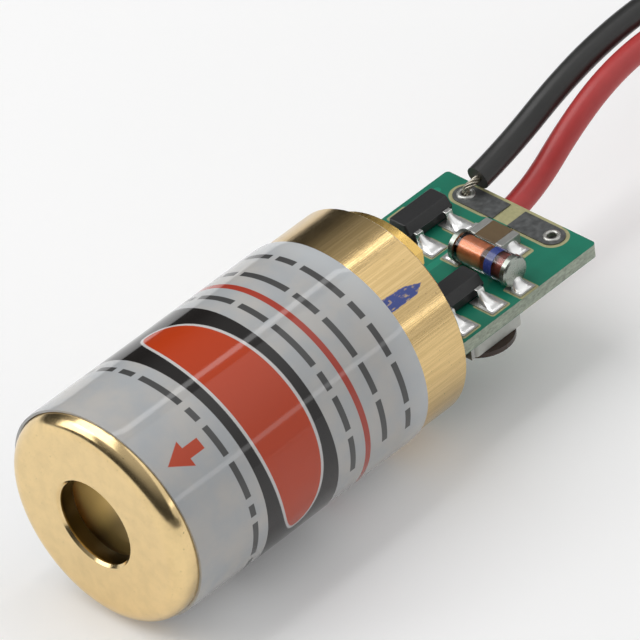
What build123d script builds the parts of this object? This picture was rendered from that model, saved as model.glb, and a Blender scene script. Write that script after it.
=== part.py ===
"""Laser diode module: a turned brass housing with its optics, laser diode, driver board and two leads.

The optical axis is the Y axis, the housing's flat front face is the plane y = 0 and the beam leaves
towards -Y. The module lies on its side, with its driver board level.
"""

import os
from math import pi, radians, sqrt, tan

from build123d import *

os.makedirs("parts", exist_ok=True)

# Housing: a turned brass tube with a closed nose
housing_radius = 5.25
housing_length = 18.05
housing_wall = 0.65
nose_wall = 0.9
nose_round = 0.82
aperture_radius = 2.1
aperture_chamfer = 0.12
rim_chamfer = 0.08

# Label: a film wrapped round the housing, a little out of square
label_thickness = 0.16
label_front = 0.88
label_length = 14.29
label_skew_x = 0.033
label_skew_z = -0.039

# Lens: moulded, flat in front and domed behind, with a flange that seats on the nose wall
lens_clearance = 0.03
lens_flange = 0.9
lens_optic_radius = 2.9
lens_recess = 0.4
lens_recess_slope = 0.25
lens_dome = 1.7

# Lens spring: holds the lens flange against the nose wall
spring_wire = 0.5
spring_clearance = 0.4
spring_turns = 4
spring_steps = 16
spring_sides = 8
spring_length = 5.2

# Diode holder: a brass insert that carries the laser diode, with a tongue to turn it by
holder_clearance = 0.02
holder_length = 5.6
holder_can_clearance = 0.1
diode_pocket_depth = 1.6
diode_pocket_clearance = 0.02
tongue_thickness = 0.6
tongue_width = 4.7
tongue_reach = 0.85

# Laser diode: a round metal can on a header with three leads
header_radius = 2.8
header_thickness = 1.2
can_radius = 1.775
can_height = 2.3
can_wall = 0.15
can_lip_radius = 2.2
can_lip = 0.12
window_hole_radius = 0.8
window_radius = 1.2
window_thickness = 0.25
diode_lead_radius = 0.2
diode_lead_circle = 1.02
diode_lead_stub = 0.3
diode_lead_seat = 3.4
diode_lead_bend = 0.6
diode_pad_width = 1.2
seal_radius = 0.45
post_width = 1.2
post_depth = 0.7
post_height = 1.5
submount_size = 0.6
submount_thickness = 0.2
chip_width = 0.3
chip_thickness = 0.1
monitor_size = 0.7
monitor_thickness = 0.15
monitor_drop = 0.5

# Driver board
board_edge_clearance = 0.035
board_thickness = 0.7
board_top = -0.07
board_overhang = 9.32
board_front_gap = 0.9
board_corner = 0.2
foil = 0.05
wire_hole_x = 2.6
wire_hole_inset = 0.82
wire_hole_radius = 0.3
wire_pad_half = 0.62
wire_pad_inner = 0.45

# Transistors: two small moulded packages with gull-wing leads
transistor_length = 2.9
transistor_width = 1.3
transistor_height = 0.95
transistor_standoff = 0.05
transistor_draft = 7
transistor_pitch = 1.9
wing_width = 0.42
wing_thickness = 0.12
wing_shoulder = 0.15
wing_heel = 0.27
wing_reach = 0.55
left_transistor_spot = (-2.68, 3.67)
right_transistor_spot = (2.25, 6.97)

# Glass diode: a short cylinder with two metal end caps
glass_diode_spot = (2.0, 4.37)
glass_diode_length = 3.5
glass_diode_cap = 0.32
glass_diode_cap_radius = 0.75
glass_diode_cap_chamfer = 0.08
glass_radius = 0.7
slug_radius = 0.5
slug_gap = 0.3

# Chip capacitor
capacitor_spot = (0.8, 2.6)
capacitor_length = 2.0
capacitor_width = 1.25
capacitor_height = 0.55
capacitor_terminal = 0.4

# Chip resistors under the board
resistor_length = 2.0
resistor_width = 1.25
resistor_height = 0.5
resistor_terminal = 0.35
resistor_spots = ((-2.4, 6.77), (-2.4, 4.47))

# Trimmer under the board: a base with a wider round rotor, low domed and slotted
trimmer_spot = (2.75, 6.02)
trimmer_width = 2.4
trimmer_length = 3.1
trimmer_height = 1.2
trimmer_corner = 0.25
rotor_radius = 1.62
rotor_wall = 0.25
rotor_dome = 0.3
rotor_slot = 0.35
rotor_slot_depth = 0.3
trimmer_tab_width = 0.7
trimmer_tab_thickness = 0.2
trimmer_tab_pitch = 1.6

# Solder
fillet_overlap = 0.05
fillet_toe_width = 0.85
fillet_toe_height = 0.06
fillet_waist = 0.4
fillet_waist_height = 0.35
wing_fillet_toe = 0.7
edge_fillet_toe = 0.2
wing_fillet_height = 0.5
cap_fillet_toe = 0.55
cap_fillet_height = 0.55
chip_fillet_toe = 0.35
chip_fillet_height = 0.5
pad_margin = 0.08

# Leads: two insulated wires, their cut ends at the board, and a coil of what is left
wire_radius = 0.6
conductor_radius = 0.18
conductor_reach = 0.35
conductor_bend = 0.3
wire_seat_gap = 0.02
arc_share = 0.45
red_pad_width = 1.5
red_pad_length = 1.8
red_pad_inset = 0.2
red_start_gap = 0.2
tie_thickness = 0.25
tie_width = 1.6
tie_clearance = 0.16
coil_centre_x = 2.6
coil_behind = 33.0
black_turn = 8.2
red_turn = 6.9
coil_inner_radius = 2.6
coil_lead_in = 6.4
coil_pitch = 2.6
black_turns = 1.06
red_turns = 1.41
tip_length = 3.0
tip_lean = 14
tip_pocket = 4 * wire_radius

# Places that follow from the sizes above
bore_radius = housing_radius - housing_wall
label_radius = housing_radius + label_thickness
lens_flange_rear = nose_wall + lens_flange
holder_front = lens_flange_rear + spring_length
holder_rear = holder_front + holder_length
holder_radius = bore_radius - holder_clearance
header_front = holder_rear - diode_pocket_depth
header_rear = header_front + header_thickness
board_front = header_rear + board_front_gap
board_rear = housing_length + board_overhang
board_bottom = board_top - board_thickness
board_half = sqrt(bore_radius**2 - board_bottom**2) - board_edge_clearance
pad_top = board_top + foil
pad_bottom = board_bottom - foil
wire_hole_y = board_rear - wire_hole_inset
floor_z = -label_radius
coil_wire_z = floor_z + tie_thickness + wire_radius
coil_centre_y = board_rear + coil_behind
black_entry_x = coil_centre_x - black_turn
red_entry_x = coil_centre_x - red_turn
red_conductor_z = pad_bottom - conductor_radius


def on_board(spot):
    """A place on the board, by its distances from the middle line and in from the rear edge."""
    from_middle, from_rear = spot
    return from_middle, board_rear - from_rear


def behind_board(points):
    """The points of a route, whose second numbers are distances behind the board's rear edge."""
    return [(x, board_rear + behind, z) for x, behind, z in points]


left_transistor_at = on_board(left_transistor_spot)
right_transistor_at = on_board(right_transistor_spot)
glass_diode_at = on_board(glass_diode_spot)
capacitor_at = on_board(capacitor_spot)
trimmer_at = on_board(trimmer_spot)
resistor_places = [on_board(spot) for spot in resistor_spots]

# The leads' routes
black_route = behind_board([
    (-2.35, -0.22, pad_top + wire_radius + wire_seat_gap),
    (-2.37, 1.83, 1.0),
    (-2.4, 5.53, 2.35),
    (-2.4, 8.63, 3.0),
    (-2.45, 12.03, 3.1),
    (-2.9, 15.2, 2.0),
    (-3.8, 18.0, -0.4),
    (-4.8, 20.6, -2.9),
    (-5.45, 23.0, -4.2),
    (black_entry_x, 25.3, coil_wire_z),
    (black_entry_x, coil_behind - coil_lead_in, coil_wire_z),
])
red_route = behind_board([
    (-1.0, red_start_gap, red_conductor_z + wire_seat_gap),
    (-1.0, 1.73, -0.72),
    (-1.0, 4.53, 1.15),
    (-1.05, 7.23, 2.25),
    (-1.15, 10.23, 2.5),
    (-1.5, 13.4, 1.75),
    (-2.2, 16.4, -0.5),
    (-3.2, 19.2, -2.9),
    (-4.0, 21.9, -4.2),
    (red_entry_x, 24.6, coil_wire_z),
    (red_entry_x, coil_behind - coil_lead_in, coil_wire_z),
])


def across(y):
    """A plane square to the optical axis; extruding by a negative amount goes towards the rear."""
    return Plane.XZ.offset(-y)


def save(piece, name):
    """Label a finished piece and write it as one STEP file."""
    piece.part.label = name
    export_step(piece.part, f"parts/{name}.step")


# Housing

with BuildPart() as housing:
    with BuildSketch(Plane.XY):
        with BuildLine():
            Polyline(
                (aperture_radius, 0),
                (housing_radius, 0),
                (housing_radius, housing_length),
                (bore_radius, housing_length),
                (bore_radius, nose_wall),
                (aperture_radius, nose_wall),
                close=True,
            )
        make_face()
    revolve(axis=Axis.Y)
    nose_edges = housing.edges().filter_by(GeomType.CIRCLE).group_by(Axis.Y)[0]
    fillet(nose_edges.sort_by(SortBy.RADIUS)[-1], nose_round)
    front_edges = housing.edges().filter_by(GeomType.CIRCLE).group_by(Axis.Y)[0]
    chamfer(front_edges.sort_by(SortBy.RADIUS)[0], aperture_chamfer)
    chamfer(housing.edges().filter_by(GeomType.CIRCLE).group_by(Axis.Y)[-1], rim_chamfer)
save(housing, "housing")

# Label

label_square = Vector(-label_skew_x, 1, -label_skew_z)
with BuildPart() as label:
    with BuildSketch(across(0)):
        Circle(label_radius)
        Circle(housing_radius, mode=Mode.SUBTRACT)
    extrude(amount=-housing_length)
    split(bisect_by=Plane((0, label_front, 0), z_dir=label_square), keep=Keep.TOP)
    split(bisect_by=Plane((0, label_front + label_length, 0), z_dir=label_square), keep=Keep.BOTTOM)
save(label, "label")

# Lens and its spring

lens_radius = bore_radius - lens_clearance
lens_front = nose_wall + lens_recess
with BuildPart() as lens:
    with BuildSketch(Plane.XY):
        with BuildLine():
            Polyline(
                (0, lens_flange_rear + lens_dome),
                (0, lens_front),
                (lens_optic_radius, lens_front),
                (lens_optic_radius + lens_recess_slope, nose_wall),
                (lens_radius, nose_wall),
                (lens_radius, lens_flange_rear),
                (lens_optic_radius, lens_flange_rear),
            )
            TangentArc(
                (0, lens_flange_rear + lens_dome), (lens_optic_radius, lens_flange_rear), tangent=(1, 0)
            )
        make_face()
    revolve(axis=Axis.Y)
save(lens, "lens")

spring_count = spring_turns * spring_steps
spring_rise = spring_length - spring_wire
spring_radius = bore_radius - spring_clearance - spring_wire / 2
spring_start = Vector(spring_radius, lens_flange_rear + spring_wire / 2, 0)
spring_points = [
    spring_start.rotate(Axis.Y, 360 * step / spring_steps) + Vector(0, spring_rise * step / spring_count, 0)
    for step in range(spring_count + 1)
]
with BuildPart() as lens_spring:
    with BuildLine():
        spring_line = Polyline(*spring_points)
    with BuildSketch(Plane(origin=spring_line @ 0, z_dir=spring_line % 0)):
        RegularPolygon(spring_wire / 2, spring_sides)
    sweep(path=spring_line, transition=Transition.RIGHT)
save(lens_spring, "lens_spring")

# Diode holder

pocket_radius = header_radius + diode_pocket_clearance
holder_beam_radius = can_lip_radius + holder_can_clearance
with BuildPart() as diode_holder:
    with BuildSketch(Plane.XY):
        with BuildLine():
            Polyline(
                (holder_beam_radius, holder_front),
                (holder_radius, holder_front),
                (holder_radius, holder_rear),
                (pocket_radius, holder_rear),
                (pocket_radius, header_front),
                (holder_beam_radius, header_front),
                close=True,
            )
        make_face()
    revolve(axis=Axis.Y)
    with BuildSketch(across(holder_rear)):
        Circle(holder_radius)
        Circle(holder_radius - tongue_thickness, mode=Mode.SUBTRACT)
        Rectangle(tongue_width, holder_radius, align=(Align.CENTER, Align.MIN), mode=Mode.INTERSECT)
    extrude(amount=holder_rear - housing_length - tongue_reach)
save(diode_holder, "diode_holder")

# Laser diode

with BuildPart() as diode_header:
    with BuildSketch(across(header_front)):
        Circle(header_radius)
        with Locations((-diode_lead_circle, 0), (diode_lead_circle, 0)):
            Circle(seal_radius, mode=Mode.SUBTRACT)
    extrude(amount=-header_thickness)
    with BuildSketch(across(header_front)):
        with Locations((0, submount_thickness + chip_thickness / 2 + post_depth / 2)):
            Rectangle(post_width, post_depth)
    extrude(amount=post_height)
save(diode_header, "diode_header")

with BuildPart() as diode_can:
    with BuildSketch(Plane.XY):
        with BuildLine():
            Polyline(
                (window_hole_radius, header_front - can_height),
                (can_radius, header_front - can_height),
                (can_radius, header_front - can_lip),
                (can_lip_radius, header_front - can_lip),
                (can_lip_radius, header_front),
                (can_radius - can_wall, header_front),
                (can_radius - can_wall, header_front - can_height + can_wall),
                (window_hole_radius, header_front - can_height + can_wall),
                close=True,
            )
        make_face()
    revolve(axis=Axis.Y)
save(diode_can, "diode_can")

with BuildPart() as diode_window:
    with BuildSketch(across(header_front - can_height + can_wall)):
        Circle(window_radius)
    extrude(amount=-window_thickness)
save(diode_window, "diode_window")

with BuildPart() as diode_submount:
    with BuildSketch(across(header_front - post_height)):
        with Locations((0, chip_thickness / 2)):
            Rectangle(submount_size, submount_thickness, align=(Align.CENTER, Align.MIN))
    extrude(amount=-submount_size)
save(diode_submount, "diode_submount")

with BuildPart() as diode_chip:
    with BuildSketch(across(header_front - post_height)):
        Rectangle(chip_width, chip_thickness)
    extrude(amount=-submount_size)
save(diode_chip, "diode_chip")

with BuildPart() as monitor_chip:
    with BuildSketch(across(header_front)):
        with Locations((0, -monitor_drop)):
            Rectangle(monitor_size, monitor_size)
    extrude(amount=monitor_thickness)
save(monitor_chip, "monitor_chip")

with BuildPart() as diode_seals:
    with BuildSketch(across(header_front)):
        with Locations((-diode_lead_circle, 0), (diode_lead_circle, 0)):
            Circle(seal_radius)
            Circle(diode_lead_radius, mode=Mode.SUBTRACT)
    extrude(amount=-header_thickness)
save(diode_seals, "diode_seals")

lead_seat_z = pad_top + diode_lead_radius
lead_end = board_front + diode_lead_seat
with BuildPart() as diode_leads:
    for side in (-1, 1):
        lead_x = side * diode_lead_circle
        with BuildLine():
            lead_line = FilletPolyline(
                (lead_x, header_front - diode_lead_stub, 0),
                (lead_x, header_rear + diode_lead_stub, 0),
                (lead_x, board_front, lead_seat_z),
                (lead_x, lead_end, lead_seat_z),
                radius=diode_lead_bend,
            )
        with BuildSketch(across(header_front - diode_lead_stub)):
            with Locations((lead_x, 0)):
                Circle(diode_lead_radius)
        sweep(path=lead_line)
    with BuildSketch(across(header_rear)):
        with Locations((0, pad_bottom - diode_lead_radius)):
            Circle(diode_lead_radius)
    extrude(amount=header_rear - lead_end)
save(diode_leads, "diode_leads")

# Driver board and its pads

with BuildPart() as driver_board:
    with BuildSketch(Plane.XY.offset(board_bottom)):
        with Locations((0, (board_front + board_rear) / 2)):
            RectangleRounded(2 * board_half, board_rear - board_front, board_corner)
        with Locations((-wire_hole_x, wire_hole_y), (wire_hole_x, wire_hole_y)):
            Circle(wire_hole_radius, mode=Mode.SUBTRACT)
    extrude(amount=board_thickness)
save(driver_board, "driver_board")

with BuildPart() as wire_pads:
    with BuildSketch(Plane.XY.offset(board_top)):
        for side in (-1, 1):
            with Locations((side * (wire_pad_inner + wire_hole_x) / 2, wire_hole_y)):
                Rectangle(wire_hole_x - wire_pad_inner, 2 * wire_pad_half)
            with Locations((side * wire_hole_x, wire_hole_y)):
                Circle(wire_pad_half)
                Circle(wire_hole_radius, mode=Mode.SUBTRACT)
    extrude(amount=foil)
save(wire_pads, "wire_pads")


# Transistors

wing_seat = pad_top
wing_root_z = pad_top + transistor_standoff + transistor_height / 2


def transistor_body(place, name):
    """A moulded package whose sides lean in above and below the lead plane."""
    with BuildPart() as body:
        with BuildSketch(Plane.XY.offset(wing_root_z)):
            with Locations(place):
                Rectangle(transistor_width, transistor_length)
        extrude(amount=transistor_height / 2, both=True, taper=transistor_draft)
    save(body, name)


def wing_places(place):
    """Side and y of each of the three leads: two on the +X side and one on the other."""
    y = place[1]
    return ((1, y - transistor_pitch / 2), (1, y + transistor_pitch / 2), (-1, y))


def transistor_leads(place):
    """Three gull-wing leads, from the package's side down to their pads."""
    with BuildPart() as leads:
        for side, y in wing_places(place):
            root = transistor_width / 2
            half = wing_thickness / 2
            outline = [
                (root, wing_root_z + half),
                (root + wing_shoulder + half, wing_root_z + half),
                (root + wing_heel + half, wing_seat + wing_thickness),
                (root + wing_reach, wing_seat + wing_thickness),
                (root + wing_reach, wing_seat),
                (root + wing_heel - half, wing_seat),
                (root + wing_shoulder - half, wing_root_z - half),
                (root, wing_root_z - half),
            ]
            with BuildSketch(across(y - wing_width / 2)):
                with BuildLine():
                    Polyline(*[(place[0] + side * x, z) for x, z in outline], close=True)
                make_face()
            extrude(amount=-wing_width)
    return leads


transistor_body(left_transistor_at, "left_transistor")
transistor_body(right_transistor_at, "right_transistor")
left_transistor_leads = transistor_leads(left_transistor_at)
save(left_transistor_leads, "left_transistor_leads")
right_transistor_leads = transistor_leads(right_transistor_at)
save(right_transistor_leads, "right_transistor_leads")

# Glass diode

glass_diode_x, glass_diode_y = glass_diode_at
glass_diode_z = pad_top + glass_diode_cap_radius
glass_half = glass_diode_length / 2 - glass_diode_cap


def glass_diode_plane(x):
    """A plane square to the glass diode's axis, at a distance from its middle."""
    return Plane((glass_diode_x + x, glass_diode_y, glass_diode_z), x_dir=(0, 1, 0), z_dir=(1, 0, 0))


with BuildPart() as glass_diode_tube:
    with BuildSketch(glass_diode_plane(-glass_half)):
        Circle(glass_radius)
        Circle(slug_radius, mode=Mode.SUBTRACT)
    extrude(amount=2 * glass_half)
save(glass_diode_tube, "glass_diode_tube")

with BuildPart() as glass_diode_slugs:
    for start in (-glass_half, slug_gap / 2):
        with BuildSketch(glass_diode_plane(start)):
            Circle(slug_radius)
        extrude(amount=glass_half - slug_gap / 2)
save(glass_diode_slugs, "glass_diode_slugs")

with BuildPart() as glass_diode_caps:
    for start in (-glass_half - glass_diode_cap, glass_half):
        with BuildSketch(glass_diode_plane(start)):
            Circle(glass_diode_cap_radius)
        extrude(amount=glass_diode_cap)
    chamfer(glass_diode_caps.edges().group_by(Axis.X)[0], glass_diode_cap_chamfer)
    chamfer(glass_diode_caps.edges().group_by(Axis.X)[-1], glass_diode_cap_chamfer)
save(glass_diode_caps, "glass_diode_caps")

# Chip capacitor on top, chip resistors below

with BuildPart() as capacitor:
    with BuildSketch(Plane.XY.offset(pad_top)):
        with Locations(capacitor_at):
            Rectangle(capacitor_length - 2 * capacitor_terminal, capacitor_width)
    extrude(amount=capacitor_height)
save(capacitor, "capacitor")

with BuildPart() as capacitor_ends:
    with BuildSketch(Plane.XY.offset(pad_top)):
        for side in (-1, 1):
            end_x = capacitor_at[0] + side * (capacitor_length - capacitor_terminal) / 2
            with Locations((end_x, capacitor_at[1])):
                Rectangle(capacitor_terminal, capacitor_width)
    extrude(amount=capacitor_height)
save(capacitor_ends, "capacitor_ends")

with BuildPart() as resistors:
    with BuildSketch(Plane.XY.offset(pad_bottom)):
        with Locations(*resistor_places):
            Rectangle(resistor_length - 2 * resistor_terminal, resistor_width)
    extrude(amount=-resistor_height)
save(resistors, "resistors")

with BuildPart() as resistor_ends:
    with BuildSketch(Plane.XY.offset(pad_bottom)):
        for side in (-1, 1):
            shift = side * (resistor_length - resistor_terminal) / 2
            with Locations(*[(x + shift, y) for x, y in resistor_places]):
                Rectangle(resistor_terminal, resistor_width)
    extrude(amount=-resistor_height)
save(resistor_ends, "resistor_ends")

# Trimmer

trimmer_bottom = board_bottom - trimmer_height
with BuildPart() as trimmer_base:
    with BuildSketch(Plane.XY.offset(trimmer_bottom)):
        with Locations(trimmer_at):
            RectangleRounded(trimmer_width, trimmer_length, trimmer_corner)
    extrude(amount=trimmer_height)
save(trimmer_base, "trimmer_base")

rotor_rim = trimmer_bottom - rotor_wall
rotor_tip = rotor_rim - rotor_dome
rotor_axis = Axis((*trimmer_at, 0), (0, 0, 1))
with BuildPart() as trimmer_rotor:
    with BuildSketch(Plane((*trimmer_at, 0), x_dir=(1, 0, 0), z_dir=(0, -1, 0))):
        with BuildLine():
            Polyline(
                (0, rotor_tip),
                (0, trimmer_bottom),
                (rotor_radius, trimmer_bottom),
                (rotor_radius, rotor_rim),
            )
            TangentArc((0, rotor_tip), (rotor_radius, rotor_rim), tangent=(1, 0))
        make_face()
    revolve(axis=rotor_axis)
    with BuildSketch(Plane.XY.offset(rotor_tip)):
        with Locations(trimmer_at):
            Rectangle(rotor_slot, 2 * rotor_radius)
    extrude(amount=rotor_slot_depth, mode=Mode.SUBTRACT)
save(trimmer_rotor, "trimmer_rotor")

trimmer_x, trimmer_y = trimmer_at
trimmer_tab_places = (
    (trimmer_x - trimmer_tab_pitch / 2, -1),
    (trimmer_x + trimmer_tab_pitch / 2, -1),
    (trimmer_x, 1),
)
with BuildPart() as trimmer_tabs:
    with BuildSketch(Plane.XY.offset(pad_bottom)):
        for x, side in trimmer_tab_places:
            with Locations((x, trimmer_y + side * (trimmer_length + trimmer_tab_thickness) / 2)):
                Rectangle(trimmer_tab_width, trimmer_tab_thickness)
    extrude(amount=trimmer_bottom - pad_bottom)
save(trimmer_tabs, "trimmer_tabs")


# Solder fillets, each a wedge from a terminal's end down to the toe of its pad

def wedge(start, toe_length, side, width, height, z, rise):
    """A concave wedge of solder that runs along X from a terminal to the toe of its pad.

    The sections are rectangles across X: full height at the start, thin and wide at the toe.
    """
    x, y = start
    sections = (
        (-fillet_overlap, width, height),
        (toe_length * fillet_waist, (width + fillet_toe_width) / 2, height * fillet_waist_height),
        (toe_length, fillet_toe_width, fillet_toe_height),
    )
    profiles = []
    for run, across_y, up in sections:
        plane = Plane((x + side * run, y, z), x_dir=(0, 1, 0), z_dir=(1, 0, 0))
        with BuildSketch(plane) as profile:
            with Locations((0, rise * up / 2)):
                Rectangle(across_y, up)
        profiles.append(profile.sketch.face())
    loft(profiles, ruled=True)


cap_end = glass_diode_length / 2
chip_end = capacitor_length / 2
top_fillets = []
for place in (left_transistor_at, right_transistor_at):
    for side, y in wing_places(place):
        start = (place[0] + side * (transistor_width / 2 + wing_heel), y)
        toe = wing_reach - wing_heel + (wing_fillet_toe if side > 0 else edge_fillet_toe)
        top_fillets.append((start, toe, side, wing_width, wing_fillet_height))
for side in (-1, 1):
    start = (glass_diode_x + side * cap_end, glass_diode_y)
    top_fillets.append((start, cap_fillet_toe, side, glass_diode_cap_radius, cap_fillet_height))
    start = (capacitor_at[0] + side * chip_end, capacitor_at[1])
    top_fillets.append((start, cap_fillet_toe, side, capacitor_width / 2, chip_fillet_height))

with BuildPart() as top_solder:
    for start, toe, side, width, height in top_fillets:
        wedge(start, toe, side, width, height, pad_top, 1)
    for lead_set in (left_transistor_leads, right_transistor_leads, glass_diode_caps, capacitor_ends):
        add(lead_set.part, mode=Mode.SUBTRACT)
save(top_solder, "top_solder")

with BuildPart() as bottom_solder:
    for x, y in resistor_places:
        for side in (-1, 1):
            start = (x + side * resistor_length / 2, y)
            wedge(start, chip_fillet_toe, side, resistor_width / 2, resistor_height, pad_bottom, -1)
    add(resistor_ends.part, mode=Mode.SUBTRACT)
save(bottom_solder, "bottom_solder")

diode_pad_y = board_front + diode_lead_seat / 2 + pad_margin
with BuildPart() as component_pads:
    with BuildSketch(Plane.XY.offset(board_top)):
        for start, toe, side, width, height in top_fillets:
            pad_from = start[0] - side * (wing_heel + pad_margin)
            pad_to = start[0] + side * (toe + pad_margin)
            with Locations(((pad_from + pad_to) / 2, start[1])):
                Rectangle(abs(pad_to - pad_from), fillet_toe_width + 2 * pad_margin)
        with Locations((-diode_lead_circle, diode_pad_y), (diode_lead_circle, diode_pad_y)):
            Rectangle(diode_pad_width, diode_lead_seat)
    extrude(amount=foil)
    with BuildSketch(Plane.XY.offset(board_bottom)):
        for x, y in resistor_places:
            for side in (-1, 1):
                pad_length = resistor_terminal + chip_fillet_toe + pad_margin
                pad_x = x + side * (resistor_length / 2 - resistor_terminal + pad_length / 2)
                with Locations((pad_x, y)):
                    Rectangle(pad_length, resistor_width)
        for x, side in trimmer_tab_places:
            with Locations((x, trimmer_y + side * (trimmer_length / 2 + trimmer_tab_width / 2))):
                Rectangle(trimmer_tab_width, trimmer_tab_width)
        with Locations((red_route[0][0], board_rear - red_pad_length / 2 - red_pad_inset)):
            Rectangle(red_pad_width, red_pad_length)
        with Locations((0, diode_pad_y)):
            Rectangle(diode_pad_width, diode_lead_seat)
    extrude(amount=-foil)
save(component_pads, "component_pads")


# Leads

def lead_radii(points):
    """The arc at each corner: a share of the shorter run over the tangent of half the turn."""
    radii = []
    for before, corner, after in zip(points, points[1:], points[2:]):
        run_in = Vector(*corner) - Vector(*before)
        run_out = Vector(*after) - Vector(*corner)
        half_turn = radians(run_in.get_angle(run_out) / 2)
        radii.append(arc_share * min(run_in.length, run_out.length) / tan(half_turn))
    return radii


def lead(points, name):
    """An insulated wire along its route, of straight runs joined by tangent arcs."""
    radii = lead_radii(points)
    with BuildPart() as wire:
        with BuildLine():
            route = FilletPolyline(*points, radius=radii)
        with BuildSketch(Plane(origin=route @ 0, z_dir=route % 0)):
            Circle(wire_radius)
        sweep(path=route)
    save(wire, name)
    section = pi * wire_radius**2
    print(name, "radii", [round(radius, 1) for radius in radii], "length", round(route.length, 1))
    print(name, "volume over section times length", wire.part.volume / (section * route.length))


lead(black_route, "black_lead")
lead(red_route, "red_lead")

black_start = Vector(*black_route[0])
black_heading = (Vector(*black_route[1]) - black_start).normalized()
black_bare_end = black_start - black_heading * conductor_reach
black_hole = Vector(-wire_hole_x, wire_hole_y, black_bare_end.Z - conductor_bend)
with BuildPart() as black_conductor:
    with BuildLine():
        black_bare = FilletPolyline(
            black_start,
            black_bare_end,
            black_hole,
            (-wire_hole_x, wire_hole_y, board_bottom),
            radius=conductor_bend,
        )
    with BuildSketch(Plane(origin=black_start, z_dir=-black_heading)):
        Circle(conductor_radius)
    sweep(path=black_bare)
save(black_conductor, "black_conductor")

red_start = Vector(*red_route[0])
red_heading = (Vector(*red_route[1]) - red_start).normalized()
red_bare_end = red_start - red_heading * (wire_seat_gap / red_heading.Z)
with BuildPart() as red_conductor:
    with BuildLine():
        red_bare = Polyline(red_start, red_bare_end, red_bare_end - Vector(0, red_pad_length, 0))
    with BuildSketch(Plane(origin=red_start, z_dir=-red_heading)):
        Circle(conductor_radius)
    sweep(path=red_bare, transition=Transition.ROUND)
save(red_conductor, "red_conductor")

# Coil of the leads' length, held by a tie, with the stripped ends inside

coil_outer_radius = black_turn + wire_radius
coil_centre = Vector(coil_centre_x, coil_centre_y, coil_wire_z)


def tip_plane(first_radius, turns):
    """A plane across a stripped end, where its lead's inward spiral stops."""
    angle = 360 * turns
    spot = Vector(coil_pitch * turns - first_radius, 0, 0).rotate(Axis.Z, -angle)
    heading = Vector(0, 1, 0).rotate(Axis.Z, -angle - tip_lean)
    return Plane(coil_centre + spot, x_dir=(0, 0, 1), z_dir=heading)


tip_planes = (tip_plane(black_turn, black_turns), tip_plane(red_turn, red_turns))
with BuildPart() as lead_coil:
    with BuildSketch(Plane.XY.offset(coil_wire_z - wire_radius)):
        with Locations((coil_centre_x, coil_centre_y)):
            Circle(coil_outer_radius)
        entry_width = black_turn - red_turn + 2 * wire_radius
        with Locations(((black_entry_x + red_entry_x) / 2, coil_centre_y - coil_lead_in / 2)):
            Rectangle(entry_width, coil_lead_in)
        with Locations((coil_centre_x, coil_centre_y)):
            Circle(coil_inner_radius, mode=Mode.SUBTRACT)
    extrude(amount=2 * wire_radius)
    for plane in tip_planes:
        with BuildSketch(plane):
            Rectangle(tip_pocket, 2 * wire_radius)
        extrude(amount=tip_length + wire_radius, mode=Mode.SUBTRACT)
save(lead_coil, "lead_coil")

with BuildPart() as lead_tips:
    for plane in tip_planes:
        with BuildSketch(plane):
            Circle(conductor_radius)
        extrude(amount=tip_length)
save(lead_tips, "lead_tips")

tie_length = coil_outer_radius - coil_inner_radius + 2 * tie_clearance
tie_middle = coil_centre_y + (coil_outer_radius + coil_inner_radius) / 2
with BuildPart() as coil_tie:
    with BuildSketch(Plane.YZ.offset(coil_centre_x - tie_width / 2)):
        with Locations((tie_middle, coil_wire_z)):
            Rectangle(tie_length + 2 * tie_thickness, 2 * (wire_radius + tie_thickness))
            Rectangle(tie_length, 2 * wire_radius, mode=Mode.SUBTRACT)
    extrude(amount=tie_width)
save(coil_tie, "coil_tie")
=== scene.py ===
"""Dresses the laser diode module: its finishes, wrapped film, solder, leads, floor, lamps and camera.

The dataclasses hold millimetres, and meshes are made in metres. The optical axis is the Y axis, the
housing's flat front is the plane y = 0, the driver board is level and +Z is up.
"""

import logging
from collections.abc import Callable, Iterable
from dataclasses import dataclass, field
from enum import Enum
from math import cos, hypot, radians, sin, tau
from typing import Union

import bpy
import numpy as np
from mathutils import Matrix, Vector


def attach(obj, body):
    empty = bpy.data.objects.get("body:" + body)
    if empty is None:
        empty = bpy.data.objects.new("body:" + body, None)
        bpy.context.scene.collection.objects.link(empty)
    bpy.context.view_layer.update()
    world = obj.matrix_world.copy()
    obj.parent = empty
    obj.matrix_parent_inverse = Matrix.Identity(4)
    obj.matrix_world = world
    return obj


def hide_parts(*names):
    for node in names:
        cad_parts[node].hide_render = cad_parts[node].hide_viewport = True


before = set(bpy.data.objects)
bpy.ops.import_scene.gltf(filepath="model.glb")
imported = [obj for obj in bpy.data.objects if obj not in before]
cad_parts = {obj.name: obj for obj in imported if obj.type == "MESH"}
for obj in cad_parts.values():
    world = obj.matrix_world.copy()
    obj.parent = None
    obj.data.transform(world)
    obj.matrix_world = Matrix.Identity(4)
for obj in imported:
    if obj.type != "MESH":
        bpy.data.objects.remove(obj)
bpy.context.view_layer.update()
LOG = logging.getLogger("laser_diode_module")
MM = 0.001
ROOT = "root"
NOISE_MIDDLE = 0.5

Pair = tuple[float, float]
Point = tuple[float, float, float]
Colour = tuple[float, float, float]
Four = tuple[float, float, float, float]
Five = tuple[float, float, float, float, float]
Piece = bpy.types.Object
Number = Union[float, "Value"]
Settings = dict[str, object]
Inputs = dict[Union[str, int], object]
MADE: dict[str, bpy.types.Material] = {}


def shaded(colour: Colour, factor: float) -> Colour:
    """A colour made lighter or darker by a factor."""
    return tuple(min(1.0, part * factor) for part in colour)


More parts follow.
